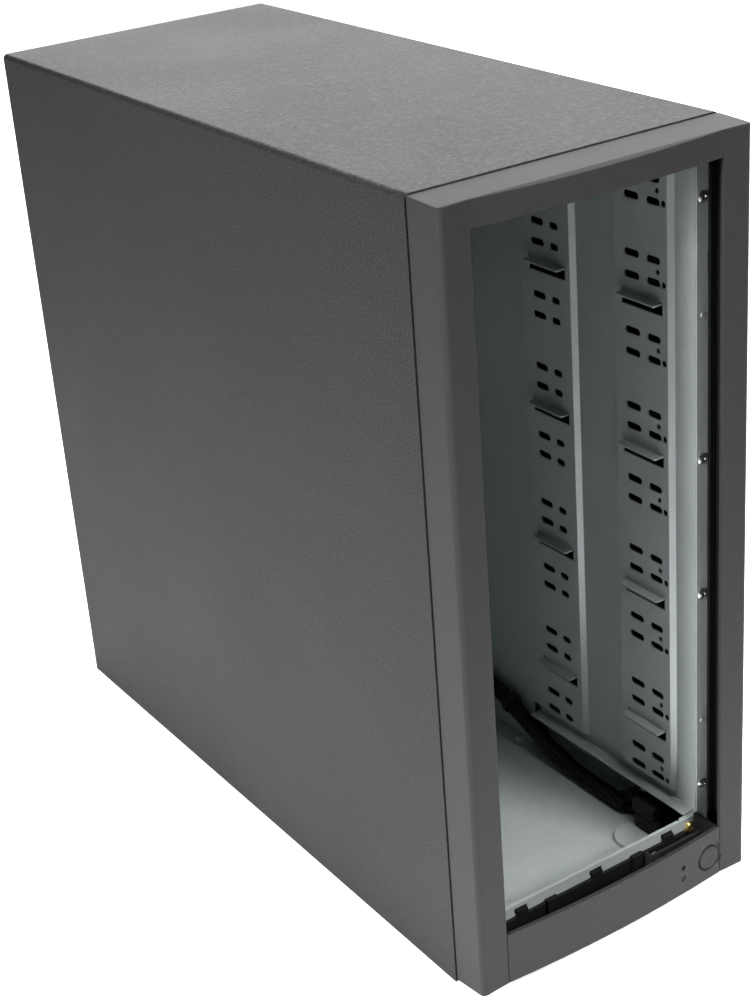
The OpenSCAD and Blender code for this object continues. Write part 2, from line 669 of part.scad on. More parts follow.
// The outer cover: top and both sides in one sheet, with round top edges. Its front edge is turned in, its
// lower edges are folded back on themselves, and its rear edge has a flange for the thumbscrews.
cover_front = bezel_back + seam;
module cover_outline(inset) {
    half = cover_w / 2 - inset;
    r = max(3 - inset, 0.6);
    top = case_top - inset;
    translate([-half, 0]) square([2 * half, top - r]);
    translate([-half + r, 0]) square([2 * (half - r), top]);
    for (s = [-1, 1]) translate([s * (half - r), top - r]) circle(r = r);
}
module cover_band(inset, low = ground_gap) {
    intersection() {
        difference() {
            cover_outline(0);
            cover_outline(inset);
        }
        translate([-200, low]) square([400, 1000]);
    }
}
module outer_cover() {
    half = cover_w / 2;
    color([0.2, 0.2, 0.205]) placed() difference() {
        union() {
            along_depth(cover_front, case_d) cover_band(sheet);
            along_depth(cover_front, cover_front + sheet) cover_band(2.8);
            both_sides() span([half - 2 * sheet, cover_front, ground_gap],
                              [half - sheet + eps, case_d, ground_gap + 8]);
            along_depth(rear_out, case_d) cover_band(13, floor_z + 22);
        }
        both_sides() for (z = thumb_zs) depth_bar(thumb_x, z, 2.1, rear_out - 1, case_d + 1);
    }
}

// Knurled thumbscrews that hold the cover to the rear panel
module cover_thumbscrews() {
    knurls = 20;
    color([0.12, 0.12, 0.12]) placed() both_sides() for (z = thumb_zs)
        translate([thumb_x, case_d, z]) rotate([-90, 0, 0]) {
            translate([0, 0, 1.2]) linear_extrude(thumb_head - 1.2) difference() {
                circle(r = 5.2);
                for (k = [0:knurls - 1]) rotate(360 * k / knurls)
                    translate([5.45, 0]) circle(r = 0.5, $fn = 16);
                square([6.4, 1.1], center = true);
                square([1.1, 6.4], center = true);
            }
            cylinder(r = 4.2, h = 4.6);
            translate([0, 0, -6]) cylinder(r = 1.5, h = 6.5);
        }
}

// The power supply's steel box, with a fan opening, an inlet and a switch at the rear and slots at the front
module psu_housing() {
    slots = 11;
    color([0.66, 0.69, 0.69]) placed() translate([psu_x, rear_in - psu_d, psu_z]) difference() {
        cube([psu_w, psu_d, psu_h]);
        translate([sheet, sheet, sheet]) cube([psu_w - 2 * sheet, psu_d - 2 * sheet, psu_h - 2 * sheet]);
        along_depth(psu_d - 5, psu_d + 1) {
            translate(psu_fan - [psu_x, psu_z]) circle(r = 38);
            for (x = [-fan_hole, fan_hole], z = [-fan_hole, fan_hole])
                translate(psu_fan - [psu_x, psu_z] + [x, z]) circle(r = 2.2, $fn = 32);
            for (h = psu_holes) translate(h) circle(r = 1.6, $fn = 32);
            translate(inlet - [psu_x, psu_z]) square([27, 20], center = true);
            translate(rocker - [psu_x, psu_z]) square([13.2, 19.4], center = true);
        }
        along_depth(-1, 3) {
            for (i = [0:slots - 1]) translate([14 + i * 9, 48]) rotate(90) obround(50, 4);
            translate([loom_route[0][0] - psu_x, loom_route[0][2] - psu_z]) circle(r = 6.5);
        }
    }
}

// The shelf that carries the supply, hung on the rear panel and open in the middle
module psu_shelf() {
    shelf_half = psu_w / 2 + 1.2;
    color([0.6, 0.64, 0.64]) placed() difference() {
        union() {
            span([-shelf_half, rear_in - 120, psu_z - sheet], [shelf_half, rear_in, psu_z]);
            span([-shelf_half, rear_in - sheet, psu_z - 14], [shelf_half, rear_in, psu_z]);
            span([-shelf_half, rear_in - 120, psu_z - 8], [shelf_half, rear_in - 120 + sheet, psu_z]);
            both_sides() span([shelf_half - sheet, rear_in - 120, psu_z - 8],
                              [shelf_half, rear_in, psu_z + 12]);
        }
        span([-60, rear_in - 105, psu_z - 5], [60, rear_in - 20, psu_z + 5]);
    }
}
module psu_screws() {
    color([0.72, 0.73, 0.75]) placed() for (h = psu_holes)
        translate([psu_x + h[0], rear_out, psu_z + h[1]]) rotate([-90, 0, 0]) pan_screw(3.4, 1.55, 2.2, 5);
}

// The collar that guards the loom where it leaves the supply
module psu_grommet() {
    color([0.05, 0.05, 0.05]) placed()
        translate([loom_route[0][0], rear_in - psu_d, loom_route[0][2]]) rotate([90, 0, 0]) rotate_extrude()
            polygon([[loom_r + 0.1, -3], [7.6, -3], [7.6, -sheet], [6.4, -sheet], [6.4, 0], [7.6, 0],
                [7.2, 2], [loom_r + 0.1, 2.4]]);
}

// The mains inlet: a flanged socket with three flat pins
module psu_inlet() {
    color([0.05, 0.05, 0.05]) placed() translate([inlet[0], rear_in, inlet[1]]) {
        difference() {
            union() {
                along_depth(0, 2.6) rounded([-15.2, -11.4], [15.2, 11.4], 2);
                along_depth(-18, 0.1) square([26.6, 19.6], center = true);
            }
            along_depth(-15, 3) polygon([[-12, -7.6], [12, -7.6], [12, 3], [7.4, 7.6], [-7.4, 7.6],
                [-12, 3]]);
        }
        for (p = [[-7, -1.6], [7, -1.6], [0, 2.6]]) span([p[0] - 1, -16, p[1] - 2], [p[0] + 1, 1, p[1] + 2]);
    }
}

// The rocker switch: its frame, and the rocker on two pins
rocker_r = 8.3;
module psu_rocker_frame() {
    color([0.06, 0.06, 0.06]) placed() translate([rocker[0], 0, rocker[1]]) difference() {
        union() {
            along_depth(rear_in, rocker_pivot_d + 1.6) rounded([-7.6, -10.6], [7.6, 10.6], 1);
            along_depth(rear_in - 14, rear_in + eps) square([13, 19.2], center = true);
        }
        along_depth(rear_in - 9.5, case_d + 5) square([11.2, 2 * rocker_r + 0.6], center = true);
        width_bar(rocker_pivot_d, 0, 1.05, -6.6, 6.6);
    }
}
module psu_rocker() {
    tilt = 8;
    color([0.55, 0.06, 0.05]) placed() translate([rocker[0], rocker_pivot_d, rocker[1]])
        rotate([tilt, 0, 0]) {
        intersection() {
            width_bar(0, 0, rocker_r, -5.4, 5.4);
            across(-6, 6) polygon([[-8, -9], [1.6, -9], [3.4, -8], [1.9, 0], [3.4, 8], [1.6, 9], [-8, 9]]);
        }
        width_bar(0, 0, 1, -6.4, 6.4);
    }
}

// An 80 mm axial fan, with its axis along Z and its outlet at the top
module fan_frame_shape() {
    half = fan_size / 2;
    difference() {
        union() {
            for (z = [0, fan_depth - 4]) translate([0, 0, z]) linear_extrude(4) difference() {
                rounded([-half, -half], [half, half], 5);
                for (x = [-fan_hole, fan_hole], y = [-fan_hole, fan_hole])
                    translate([x, y]) circle(r = 2.2, $fn = 32);
            }
            intersection() {
                cylinder(r = fan_bore + 1.4, h = fan_depth);
                translate([-half, -half, 0]) cube([fan_size, fan_size, fan_depth]);
            }
        }
        translate([0, 0, -1]) cylinder(r = fan_bore, h = fan_depth + 2);
    }
    difference() {
        union() {
            translate([0, 0, fan_depth - 3]) cylinder(r = 16, h = 3);
            for (a = [45:90:315]) rotate(a)
                translate([14, -1.6, fan_depth - 3]) cube([fan_bore - 13.4, 3.2, 3]);
            translate([0, 0, 6]) cylinder(r = 4, h = fan_depth - 7);
        }
        translate([0, 0, 5]) cylinder(r = 1.55, h = fan_depth - 7.5);
    }
}
module fan_rotor_shape() {
    hub_r = 16.5;
    tip_r = fan_bore - 1;
    blade_low = 3;
    blade_high = fan_depth - 5;
    curve_r = 26;
    blade_pitch = 46;
    blade_chord = 22;
    difference() {
        translate([0, 0, 1.6]) cylinder(r = hub_r, h = fan_depth - 5.4);
        translate([0, 0, 3.4]) cylinder(r = hub_r - 1.6, h = fan_depth);
    }
    translate([0, 0, 2]) cylinder(r = 1.5, h = fan_depth - 6);
    translate([0, 0, 1.6]) cylinder(r = 3, h = 3);
    for (k = [0:fan_blades - 1]) rotate(360 * k / fan_blades) intersection() {
        translate([0, 0, blade_low]) cylinder(r = tip_r, h = blade_high - blade_low);
        translate([0, 0, (blade_low + blade_high) / 2]) across(hub_r - 3.2, fan_size) rotate(blade_pitch)
            translate([0, -curve_r]) intersection() {
                difference() {
                    circle(r = curve_r, $fn = 96);
                    circle(r = curve_r - 1.4, $fn = 96);
                }
                translate([-blade_chord / 2, 0]) square([blade_chord, curve_r + 1]);
            }
    }
}
module fan_guard_shape() {
    wire = 0.9;
    ring_gap = 7;
    spoke_z = 1.3;
    for (k = [0:guard_rings - 1])
        rotate_extrude() translate([38.4 - k * ring_gap, 0]) circle(r = wire, $fn = 20);
    for (a = [45:90:315]) rotate(a) translate([0, 0, spoke_z]) rotate([0, 90, 0])
        cylinder(r = wire, h = fan_hole * sqrt(2) - 3, $fn = 20);
    for (a = [45:90:315]) rotate(a) translate([fan_hole * sqrt(2), 0, spoke_z])
        rotate_extrude() translate([3.1, 0]) circle(r = wire + 0.1, $fn = 20);
}
module fan_screws_shape(head_at, reach) {
    for (x = [-fan_hole, fan_hole], y = [-fan_hole, fan_hole])
        translate([x, y, head_at]) pan_screw(3.6, 2.1, 2.2, reach);
}

// Turns a fan so that its outlet faces the rear, with the outlet's end at the given depth
module faces_rear(centre, d) {
    placed() translate([centre[0], d, centre[1]]) rotate([-90, 0, 0]) children();
}
module psu_fan_frame() {
    color([0.05, 0.05, 0.05]) faces_rear(psu_fan, rear_in - sheet - fan_depth) fan_frame_shape();
}
module psu_fan_rotor() {
    color([0.07, 0.07, 0.07]) faces_rear(psu_fan, rear_in - sheet - fan_depth) fan_rotor_shape();
}
module psu_fan_guard() {
    color([0.8, 0.81, 0.83]) faces_rear(psu_fan, rear_in + 0.9) fan_guard_shape();
}
module psu_fan_screws() {
    color([0.72, 0.73, 0.75]) faces_rear(psu_fan, rear_in) fan_screws_shape(3.3, 8);
}
module rear_fan_frame() {
    color([0.05, 0.05, 0.05]) faces_rear(case_fan, rear_in - fan_depth) fan_frame_shape();
}
module rear_fan_rotor() {
    color([0.07, 0.07, 0.07]) faces_rear(case_fan, rear_in - fan_depth) fan_rotor_shape();
}
module rear_fan_guard() {
    color([0.8, 0.81, 0.83]) faces_rear(case_fan, rear_out + 0.9) fan_guard_shape();
}
module rear_fan_screws() {
    color([0.72, 0.73, 0.75]) faces_rear(case_fan, rear_out) fan_screws_shape(3.3, 9);
}

// The sleeved loom from the supply to the front, and its two tails
module power_loom() {
    color([0.05, 0.05, 0.05]) placed() {
        tube(loom_route, loom_r, 10, 2);
        for (route = tail_routes) tube(route, tail_r, 8, 2);
    }
}

// Drive power plugs on the tails
module power_plugs() {
    color([0.05, 0.05, 0.05]) placed() for (route = tail_routes) {
        tip = route[len(route) - 1];
        ahead = tip - route[len(route) - 2];
        translate(tip) rotate(atan2(ahead[1], ahead[0])) drive_plug();
    }
}
module drive_plug() {
    pins = 4;
    pin_pitch = 5.08;
    length = 17.5;
    half = 10.5;
    low = -4.4;
    high = 4.2;
    difference() {
        translate([-0.5, -half, low]) cube([length, 2 * half, high - low]);
        for (k = [0:pins - 1]) translate([3, (k - 1.5) * pin_pitch, 0]) rotate([0, 90, 0])
            cylinder(r = 1.9, h = 20, $fn = 24);
        for (s = [-1, 1]) translate([9.5, s * half, high]) rotate([45, 0, 0])
            translate([0, -1.2, -1.2]) cube([10, 2.4, 2.4]);
    }
}

// Ties round the loom, square to it
module loom_ties() {
    color([0.08, 0.08, 0.08]) placed() for (t = loom_ties_at) {
        along = unit(smooth_at(loom_route, t + 0.1) - smooth_at(loom_route, t - 0.1));
        translate(smooth_at(loom_route, t)) rotate([0, acos(along[2]), atan2(along[1], along[0])]) {
            difference() {
                cylinder(r = loom_r + 1.1, h = 3.6, center = true);
                cylinder(r = loom_r + 0.1, h = 5, center = true);
            }
            translate([-loom_r - 3.4, -2.4, -2.6]) cube([3, 4.8, 5.2]);
        }
    }
}

outer_cover();
front_bezel();
lower_front_panel();
front_frame();
base_pan();
rear_panel();
cage_side_right();
cage_side_left();
cage_top_tie();
top_brace();
power_button();
power_switch();
switch_carrier();
carrier_screws();
power_led();
drive_led();
panel_leads();
frame_rivets();
frame_screws();
cage_foot_screws();
chassis_rivets();
rubber_feet();
cover_thumbscrews();
psu_housing();
psu_shelf();
psu_screws();
psu_grommet();
psu_inlet();
psu_rocker_frame();
psu_rocker();
psu_fan_frame();
psu_fan_rotor();
psu_fan_guard();
psu_fan_screws();
rear_fan_frame();
rear_fan_rotor();
rear_fan_guard();
rear_fan_screws();
power_loom();
power_plugs();
loom_ties();
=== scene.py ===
# %% [markdown]
# # A disc duplicator enclosure, dressed in Blender
# The packed model gives every rigid piece of the enclosure at its true size: a steel chassis with nine open
# bays, a moulded bezel, a coated cover and the power parts at the rear. This lesson loads it, sets a camera and
# plain studio light, and then makes the finishes and the details that the solids leave out.

# %% Load the model
import math
import bmesh
import bpy
from mathutils import Euler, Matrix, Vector


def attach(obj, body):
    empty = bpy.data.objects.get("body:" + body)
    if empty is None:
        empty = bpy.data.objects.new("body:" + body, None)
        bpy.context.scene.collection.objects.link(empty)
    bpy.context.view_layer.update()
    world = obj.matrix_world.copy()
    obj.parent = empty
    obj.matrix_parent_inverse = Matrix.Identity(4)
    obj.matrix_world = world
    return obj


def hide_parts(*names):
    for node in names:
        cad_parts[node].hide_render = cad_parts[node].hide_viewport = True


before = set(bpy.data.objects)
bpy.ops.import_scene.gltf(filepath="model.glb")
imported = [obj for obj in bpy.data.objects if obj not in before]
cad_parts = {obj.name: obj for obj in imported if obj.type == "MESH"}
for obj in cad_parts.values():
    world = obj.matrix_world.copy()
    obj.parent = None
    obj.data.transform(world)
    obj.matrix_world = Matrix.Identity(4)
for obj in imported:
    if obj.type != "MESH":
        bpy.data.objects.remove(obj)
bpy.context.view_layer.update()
print("pieces loaded:", len(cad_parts))

# %% [markdown]
# ## Camera
# The camera stands in front of the left corner and above it, as a person does who looks down on a case on a
# table. A moderately long lens keeps the tall sides nearly parallel. The lens, the turn and the place are plain
# numbers in metres and degrees, so that the picture can be taken again in exactly the same way.

# %% Camera
CAMERA_PLACE = (-0.53402, -0.86131, 0.66804)
CAMERA_TURN = (65.1070, 4.0383, -34.2053)


def linked(name, data):
    """An object for this data, in the scene."""
    made = bpy.data.objects.new(name, data)
    bpy.context.scene.collection.objects.link(made)
    return made


camera_data = bpy.data.cameras.new("camera")
camera_data.lens = 68.345
camera_data.sensor_width = 36
camera_data.shift_x = -0.0005
camera_data.shift_y = -0.0266
camera_data.clip_end = 60
camera = linked("camera", camera_data)
camera.location = CAMERA_PLACE
camera.rotation_euler = Euler([math.radians(angle) for angle in CAMERA_TURN])
bpy.context.scene.camera = camera
bpy.context.scene.view_settings.view_transform = "Standard"
print("lens in mm:", camera_data.lens)

# %% [markdown]
# ## Floor
# The case stands on a plain sheet that is far wider than the picture. One grid face is enough for it, because
# its unevenness comes from its finish, which is made near the end of the lesson.

# %% Floor
FLOOR_REACH = 9


def mesh_object(name, shape):
    """A mesh object from a bmesh, which is freed."""
    data = bpy.data.meshes.new(name)
    shape.to_mesh(data)
    shape.free()
    return linked(name, data)


floor_shape = bmesh.new()
bmesh.ops.create_grid(floor_shape, x_segments=1, y_segments=1, size=FLOOR_REACH)
floor = mesh_object("floor", floor_shape)
print("floor faces:", len(floor.data.polygons))

# %% [markdown]
# ## Studio light
# A dark case shows the light mostly as sheen, so each face gets its own soft source. A wide panel behind gives
# the top its sheen. Panels above and to the right look down into the bays and light the floor of the chassis.
# One at the left reaches through the opening and fades along the drive cage. Both visible outer sides live on
# the light that the floor throws back and on the floor's painted glow. The surroundings add only a trace, so the
# depths stay dark.

# %% Studio light
def panel_light(name, size, power, place, aim, spread=180):
    """A soft panel turned to the point it is aimed at. A small spread in degrees keeps its beam together."""
    data = bpy.data.lights.new(name, "AREA")
    data.spread = math.radians(spread)
    data.shape = "RECTANGLE"
    data.size, data.size_y = size
    data.energy = power
    light = linked(name, data)
    light.location = place
    light.rotation_euler = (Vector(aim) - Vector(place)).to_track_quat("-Z", "Y").to_euler()


panel_light("overhead_panel", (0.6, 0.6), 3.0, place=(0.1, -0.80, 2.0), aim=(0, -0.15, 0.1), spread=50)
panel_light("right_panel", (0.5, 0.5), 2.7, place=(0.5, -1.7, 1.4), aim=(0, -0.15, 0.15), spread=40)
panel_light("back_panel", (2.4, 1.5), 49, place=(1.25, 1.6, 1.1), aim=(0, 0, 0.43))
panel_light("left_panel", (0.4, 0.7), 12, place=(-2.0, -0.50, 0.85), aim=(0.05, -0.2, 0.2), spread=60)

world = bpy.data.worlds.new("surroundings")
bpy.context.scene.world = world
world.use_nodes = True
surround = world.node_tree.nodes["Background"]
surround.inputs["Color"].default_value = (0.96, 0.98, 1.0, 1)
surround.inputs["Strength"].default_value = 0.03

# %% [markdown]
# ## Shader maths as expressions
# A finish is a small graph of nodes. To keep each one readable, a socket is wrapped in a class whose
# arithmetic adds the Math nodes, so a mask is written as `1 - dust * 0.5`. The reflected forms let a plain
# number stand on either side.

# %% Shader maths as expressions
class Value:
    """A number that varies over a surface. Arithmetic on it adds Math nodes."""

    def __init__(self, finish, socket):
        self.finish = finish
        self.socket = socket

    def math(self, operation, first, second=None):
        inputs = {0: first} if second is None else {0: first, 1: second}
        return self.finish.node("ShaderNodeMath", {"operation": operation}, inputs)

    def __add__(self, other):
        return self.math("ADD", self, other)

    def __radd__(self, other):
        return self.math("ADD", other, self)

    def __sub__(self, other):
        return self.math("SUBTRACT", self, other)

    def __rsub__(self, other):
        return self.math("SUBTRACT", other, self)

    def __mul__(self, other):
        return self.math("MULTIPLY", self, other)

    def __rmul__(self, other):
        return self.math("MULTIPLY", other, self)

    def above(self, low, high):
        """0 below low and 1 above high, with a smooth step between."""
        return self.finish.node("ShaderNodeMapRange", {"interpolation_type": "SMOOTHSTEP", "clamp": True},
                                {"Value": self, "From Min": low, "From Max": high})


print("operators:", [name for name in vars(Value) if name.startswith("__") and name[2:5] in ("add", "sub", "mul")])

# %% [markdown]
# ## The finish helper
# Every finish starts from the Principled shader. What is the same all over is set on the shader's sockets at
# once, and what varies is linked at the end by `wear`. Colours go through Mix nodes, because a Math node would
# turn them grey. Every other node comes from one method, which takes its settings first and then its sockets.

# %% The finish helper
class Finish:
    """A material built on the Principled shader."""

    def __init__(self, name, **constants):
        self.material = bpy.data.materials.new(name)
        self.material.use_nodes = True
        self.tree = self.material.node_tree
        self.shader = self.tree.nodes["Principled BSDF"]
        for socket, value in constants.items():
            self.shader.inputs[socket.replace("_", " ")].default_value = value
        self.place = self.node("ShaderNodeTexCoord", out="Object")

    def node(self, kind, settings=None, inputs=None, out=0):
        """Adds a node: its settings first, then the values or links of its sockets."""
        made = self.tree.nodes.new(kind)
        for key, value in (settings or {}).items():
            setattr(made, key, value)
        for key, value in (inputs or {}).items():
            self.feed(made.inputs[key], value)
        return Value(self, made.outputs[out])

    def feed(self, socket, value):
        """Links a varying value to a socket, or sets a constant on it."""
        if isinstance(value, Value):
            self.tree.links.new(value.socket, socket)
        elif isinstance(value, tuple) and len(value) == 3 and socket.type == "RGBA":
            socket.default_value = (*value, 1)
        else:
            socket.default_value = value

    def axes(self, vector, names):
        """The named axes of a vector, each as a value."""
        return [self.node("ShaderNodeSeparateXYZ", {}, {0: vector}, out=axis) for axis in names]

    def stretched(self, x, y, z):
        """The object's coordinates, scaled apart along each axis."""
        return self.node("ShaderNodeMapping", {}, {"Vector": self.place, "Scale": (x, y, z)})

    def noise(self, scale, detail=2.0, roughness=0.5, at=None):
        return self.node("ShaderNodeTexNoise", {}, {"Vector": at or self.place, "Scale": scale,
                                                    "Detail": detail, "Roughness": roughness})

    def cells(self, scale, output="Distance"):
        return self.node("ShaderNodeTexVoronoi", {}, {"Vector": self.place, "Scale": scale}, out=output)

    def mixed(self, factor, first, second):
        """The second colour over the first."""
        return self.node("ShaderNodeMix", {"data_type": "RGBA"}, {0: factor, 6: first, 7: second}, out=2)

    def relief(self, height, depth, strength=1.0):
        """A bump whose height of 1 stands for this depth in metres."""
        return self.node("ShaderNodeBump", {}, {"Height": height, "Distance": depth, "Strength": strength})

    def wear(self, **sockets):
        """Feeds the shader's varying sockets, and gives the material."""
        for socket, value in sockets.items():
            self.feed(self.shader.inputs[socket.replace("_", " ")], value)
        return self.material


print("textures at hand:", [name for name in ("noise", "cells") if hasattr(Finish, name)])

# %% [markdown]
# ## Dressing a piece
# A packed piece gets a finish through its material slots, and its mesh is never touched. Some pieces are stood
# in for by a finer copy later on, so a list tells which object wears the finish of each node.

# %% Dressing a piece
worn = dict(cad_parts)


def dress(material, *names):
    """Puts one material on whole pieces, each a CAD node or what stands in for it."""
    for name in names:
        slots = worn[name].data.materials
        slots.clear()
        slots.append(material)


print("pieces to dress:", len(worn))

# %% [markdown]
# ## Eased edges
# A packed solid has edges of no width, and those never catch the light. Each visible sheet and moulding is
# copied, its loose triangles are merged, and its sharp edges get a narrow round. The copy rides the same body
# and stands in for the solid.

# %% Eased edges
MM = 0.001
MERGE_GAP = 2e-6
ROUNDED_FROM = math.radians(32)
CREASED_FROM = math.radians(40)


def eased(name, width, body="case"):
    """A copy of a CAD node with its sharp edges rounded by this width in millimetres."""
    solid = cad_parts[name]
    shape = bmesh.new()
    shape.from_mesh(solid.data)
    bmesh.ops.remove_doubles(shape, verts=shape.verts, dist=MERGE_GAP)
    edges = [e for e in shape.edges if len(e.link_faces) == 2 and e.calc_face_angle(0) > ROUNDED_FROM]
    bmesh.ops.bevel(shape, geom=edges, offset=width * MM, offset_type="OFFSET", segments=2, profile=0.5,
                    affect="EDGES", clamp_overlap=False, material=-1)
    for face in shape.faces:
        face.smooth = True
    for edge in shape.edges:
        edge.smooth = edge.calc_face_angle(0) < CREASED_FROM
    piece = mesh_object("eased_" + name, shape)
    piece.matrix_world = solid.matrix_world
    piece.modifiers.new("even_shading", "WEIGHTED_NORMAL").keep_sharp = True
    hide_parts(name)
    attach(piece, body)
    worn[name] = piece
    return piece


print("edges are rounded from", round(math.degrees(ROUNDED_FROM)), "degrees")

# %% [markdown]
# ## Sheets and mouldings with eased edges
# Sheared sheet metal keeps a burr-free round of about a fifth of a millimetre. The cover's coat makes its edges
# rounder, and a moulding leaves its mould with rounder edges still.

# %% Sheets and mouldings with eased edges
SHEARED, COATED, MOULDED, PANEL_LIP, BEZEL_LIP = 0.18, 0.3, 0.3, 0.35, 0.45
for name, width in {
    "outer_cover": COATED, "front_bezel": BEZEL_LIP, "lower_front_panel": PANEL_LIP, "front_frame": SHEARED,
    "base_pan": SHEARED, "cage_side_right": SHEARED, "cage_side_left": SHEARED, "cage_top_tie": SHEARED,
    "top_brace": SHEARED, "rear_panel": SHEARED, "psu_housing": SHEARED, "psu_shelf": SHEARED,
    "psu_inlet": MOULDED, "psu_rocker_frame": MOULDED, "power_plugs": MOULDED, "rear_fan_frame": MOULDED,
    "psu_fan_frame": MOULDED,
}.items():
    made = eased(name, width)
    print(made.name, len(made.data.polygons), "faces")
for name, body in (("power_button", "button"), ("psu_rocker", "rocker")):
    print(eased(name, MOULDED, body).name, "rides the", body)

# %% [markdown]
# ## Coated sheet
# The cover is sheet steel under a dark powder coat. Powder melts into a skin like fine orange peel, so its
# gloss is broken up at about a millimetre. A second, larger unevenness in roughness is the faint cloudiness that
# shows on the big flat sides, and a little pale dust lies on the faces that look up.

# %% Coated sheet
def coated_sheet():
    coat = Finish("coated_sheet", Specular_IOR_Level=0.075)
    peel = coat.noise(900, 2, 0.6)
    clouds = coat.noise(9, 3, 0.6)
    specks = coat.cells(2300).above(0.0, 0.5)
    facing_up, = coat.axes(coat.node("ShaderNodeNewGeometry", out="Normal"), "Z")
    dust = facing_up.above(0.6, 1.0) * coat.noise(420, 4, 0.7).above(0.42, 0.75)
    grain = coat.mixed(peel.above(0.35, 0.7), (0.013, 0.0128, 0.0122), (0.027, 0.0265, 0.0255))
    colour = coat.mixed(dust * 0.35, grain, (0.13, 0.135, 0.14))
    return coat.wear(Base_Color=colour, Roughness=0.5 + clouds * 0.12 - specks * 0.08,
                     Normal=coat.relief(peel, 0.00022, 0.7))


dress(coated_sheet(), "outer_cover")
print("coated:", "outer_cover")

# %% [markdown]
# ## Moulded plastic
# The bezel, the lower panel and the button are moulded with a fine spark-eroded texture, slightly smoother and
# browner than the coated sheet beside them. One function makes every plastic and rubber here, from its darkest
# and palest colour, its roughness and the depth of its texture in metres.

# %% Moulded plastic
def moulded(name, dark, pale, roughness, depth):
    skin = Finish(name, Specular_IOR_Level=0.085)
    spark = skin.noise(2600, 2, 0.55)
    clouds = skin.noise(14, 3, 0.6)
    colour = skin.mixed(spark.above(0.3, 0.75), dark, pale)
    return skin.wear(Base_Color=colour, Roughness=roughness + clouds * 0.1,
                     Normal=skin.relief(spark, depth, 0.6))


bezel_skin = moulded("moulded_bezel", (0.018, 0.0175, 0.0172), (0.028, 0.0275, 0.027), 0.4, 0.00012)
dress(bezel_skin, "front_bezel", "lower_front_panel", "power_button")
black_skin = moulded("black_plastic", (0.010, 0.010, 0.010), (0.018, 0.018, 0.018), 0.4, 0.00006)
dress(black_skin, "power_switch", "switch_carrier", "psu_inlet", "psu_rocker_frame", "psu_fan_frame",
      "rear_fan_frame", "psu_fan_rotor", "rear_fan_rotor", "power_plugs", "loom_ties")
print("moulded:", bezel_skin.name, black_skin.name)

# %% [markdown]
# ## Raw plastic with painted shade inside the mouldings
# Only the outside of the bezel and the panel has the grey finish. Their inner faces, the hooks and the bar are
# the raw black plastic, made darker than the other black plastic as painted shade for the hollows. So each
# moulding gets a second material there, chosen by how far a face lies behind the bowed front.

# %% Raw plastic with painted shade inside the mouldings
CORNER_Y = -225.465
STILE_FALL, FRONT_BOW, OPENING_HALF = 0.93, 3.5, 74.2
SKIN, SIDE_FACE, TOP_FACE, BACK_HALF = 3.0, 91.2, 430.2, 91
# Darker than the black plastic elsewhere: painted shade for the inside of the mouldings.
shaded_raw_skin = moulded("raw_plastic_with_painted_shade", (0.0035, 0.0035, 0.0036), (0.007, 0.007, 0.007), 0.55, 0.00008)


def front_line(x):
    """How far the bowed front lies behind the bezel's corners at this x, in millimetres."""
    return STILE_FALL - FRONT_BOW * max(0.0, 1 - (x / OPENING_HALF) ** 2)


def shaded_raw_inside(name):
    """Gives the faces that lie behind a moulding's outer skin the raw black plastic with painted shade, and counts
    them.
    """
    data = worn[name].data
    data.materials.append(shaded_raw_skin)
    count = 0
    for face in data.polygons:
        x, y, z = (v / MM for v in face.center)
        in_skin = y - CORNER_Y < front_line(x) + SKIN
        outside = in_skin or abs(x) > SIDE_FACE or z > TOP_FACE or face.normal.z < -0.9
        looks_back = face.normal.y > 0.7 and abs(x) < BACK_HALF
        if looks_back or not outside:
            face.material_index = 1
            count += 1
    return count


print("raw faces:", shaded_raw_inside("front_bezel"), shaded_raw_inside("lower_front_panel"))

# %% [markdown]
# ## Bare steel
# The chassis is zinc-coated steel: a soft grey metal with a faint spangle, a trace of rolling lines along the
# sheet, and a few smears where it was handled. The supply's housing is brighter and smoother.

# %% Bare steel
def bare_steel(name, tone, roughness):
    steel = Finish(name, Metallic=0.4)
    spangle = steel.node("ShaderNodeSeparateColor", {}, {0: steel.cells(240, "Color")})
    rolling = steel.noise(60, 2, 0.5, at=steel.stretched(1, 18, 18))
    smears = steel.noise(22, 4, 0.65).above(0.45, 0.8)
    pale = tuple(v * 1.12 for v in tone)
    colour = steel.mixed(spangle * 0.5 + smears * 0.3, tone, pale)
    return steel.wear(Base_Color=colour, Roughness=roughness + spangle * 0.05 + smears * 0.1,
                      Normal=steel.relief(rolling * 0.5 + spangle * 0.3, 0.00003, 0.5))


chassis_steel = bare_steel("chassis_steel", (0.345, 0.376, 0.373), 0.42)
dress(chassis_steel, "front_frame", "base_pan", "rear_panel", "cage_side_right", "cage_side_left",
      "cage_top_tie", "top_brace", "psu_shelf")
supply_steel = bare_steel("supply_steel", (0.55, 0.57, 0.57), 0.34)
dress(supply_steel, "psu_housing")
print("steel:", chassis_steel.name, supply_steel.name)

# %% [markdown]
# ## Small metal parts
# Rivets are soft aluminium, most screws are bright zinc, and the two screws through the floor's front strip
# have a yellow zinc skin whose colour drifts between gold and a faint green. The fan guards are bright wire,
# and the cover's thumbscrews are blackened.

# %% Small metal parts
def small_metal(name, tone, drift, roughness):
    metal = Finish(name, Metallic=1.0)
    patches = metal.noise(420, 3, 0.6)
    return metal.wear(Base_Color=metal.mixed(patches.above(0.35, 0.7), tone, drift),
                      Roughness=roughness + patches * 0.15, Normal=metal.relief(patches, 0.00003, 0.4))


